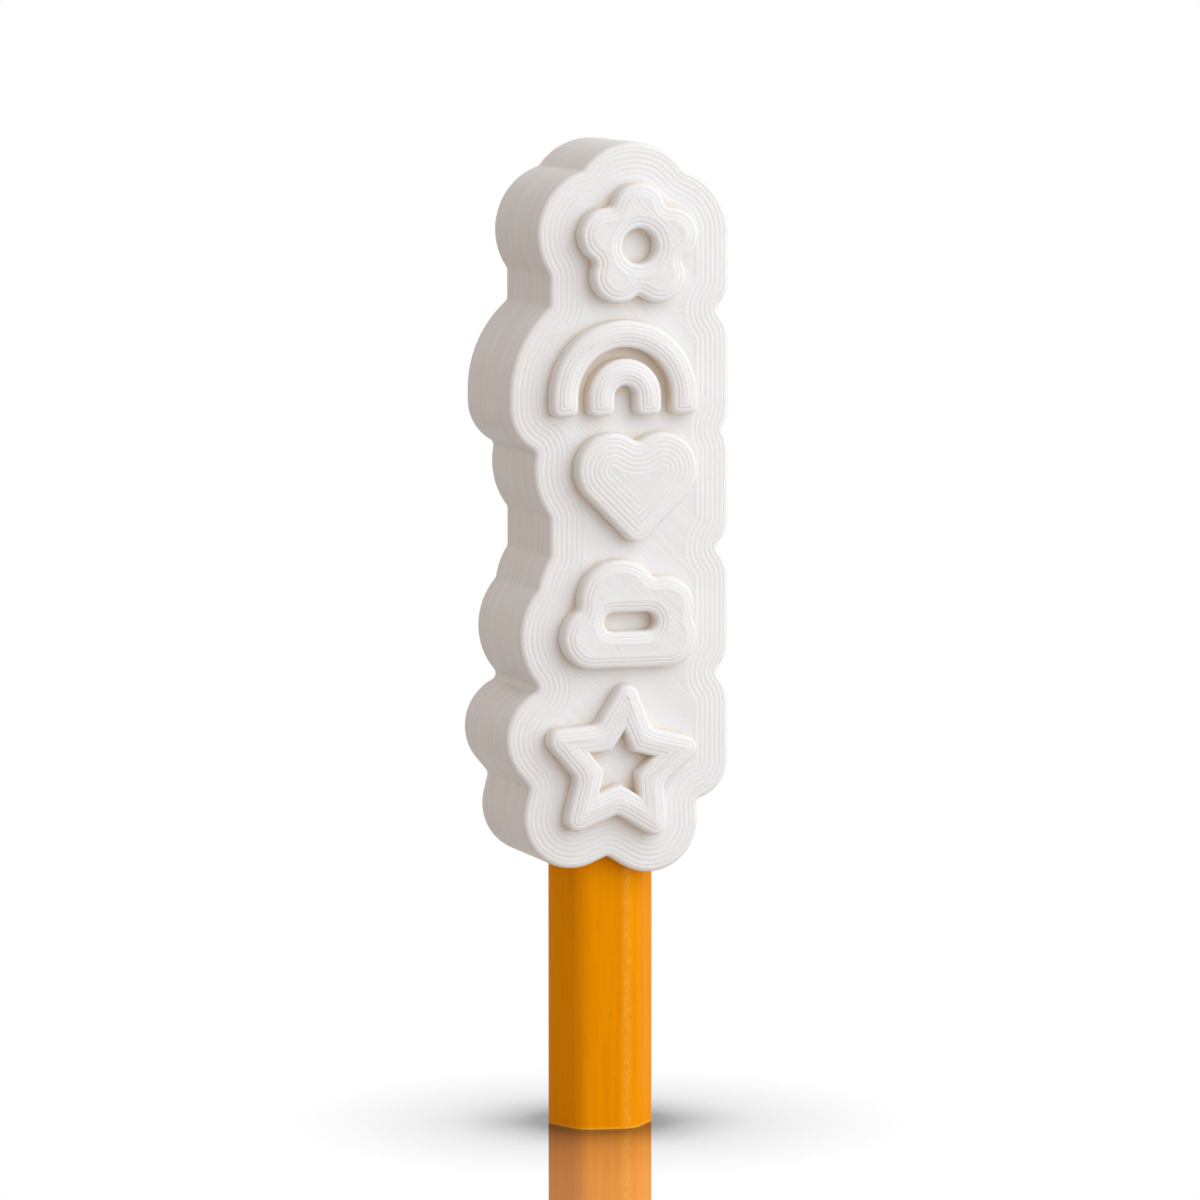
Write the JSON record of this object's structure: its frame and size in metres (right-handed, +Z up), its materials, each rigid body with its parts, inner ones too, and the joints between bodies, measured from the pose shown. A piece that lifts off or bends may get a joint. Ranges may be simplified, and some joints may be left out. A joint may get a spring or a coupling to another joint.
{
  "type": "pencil topper",
  "caption": "Printed pencil topper with a lobed body and raised figures, pushed by its blind socket on a short hexagonal pencil that stands upright and pulls out.",
  "frame": {"origin": "centre of the pencil's cut foot, on the floor", "axes": "+Z up along the pencil, -Y out of the topper's front with the raised figures, +X to the right"},
  "size_m": [0.0173, 0.0119, 0.0733],
  "materials": {
    "white_plastic": "satin printed plastic with fine lines",
    "lacquer": "glossy lacquer",
    "cedar": "bare cut wood",
    "graphite": "dull graphite"
  },
  "bodies": {
    "pencil": {"front_slat": "cedar", "rear_slat": "cedar", "graphite_lead": "graphite", "lacquer_coat": "lacquer"},
    "topper": {"topper_body": "white_plastic", "star_figure": "white_plastic", "cloud_figure": "white_plastic", "heart_figure": "white_plastic", "outer_arch_figure": "white_plastic", "inner_arch_figure": "white_plastic", "flower_figure": "white_plastic"}
  },
  "joints": [
    {"name": "topper_pull_off", "type": "slide", "parent": "pencil", "child": "topper", "axis": [0, 0, 1], "range_m": [0, 0.026]}
  ]
}
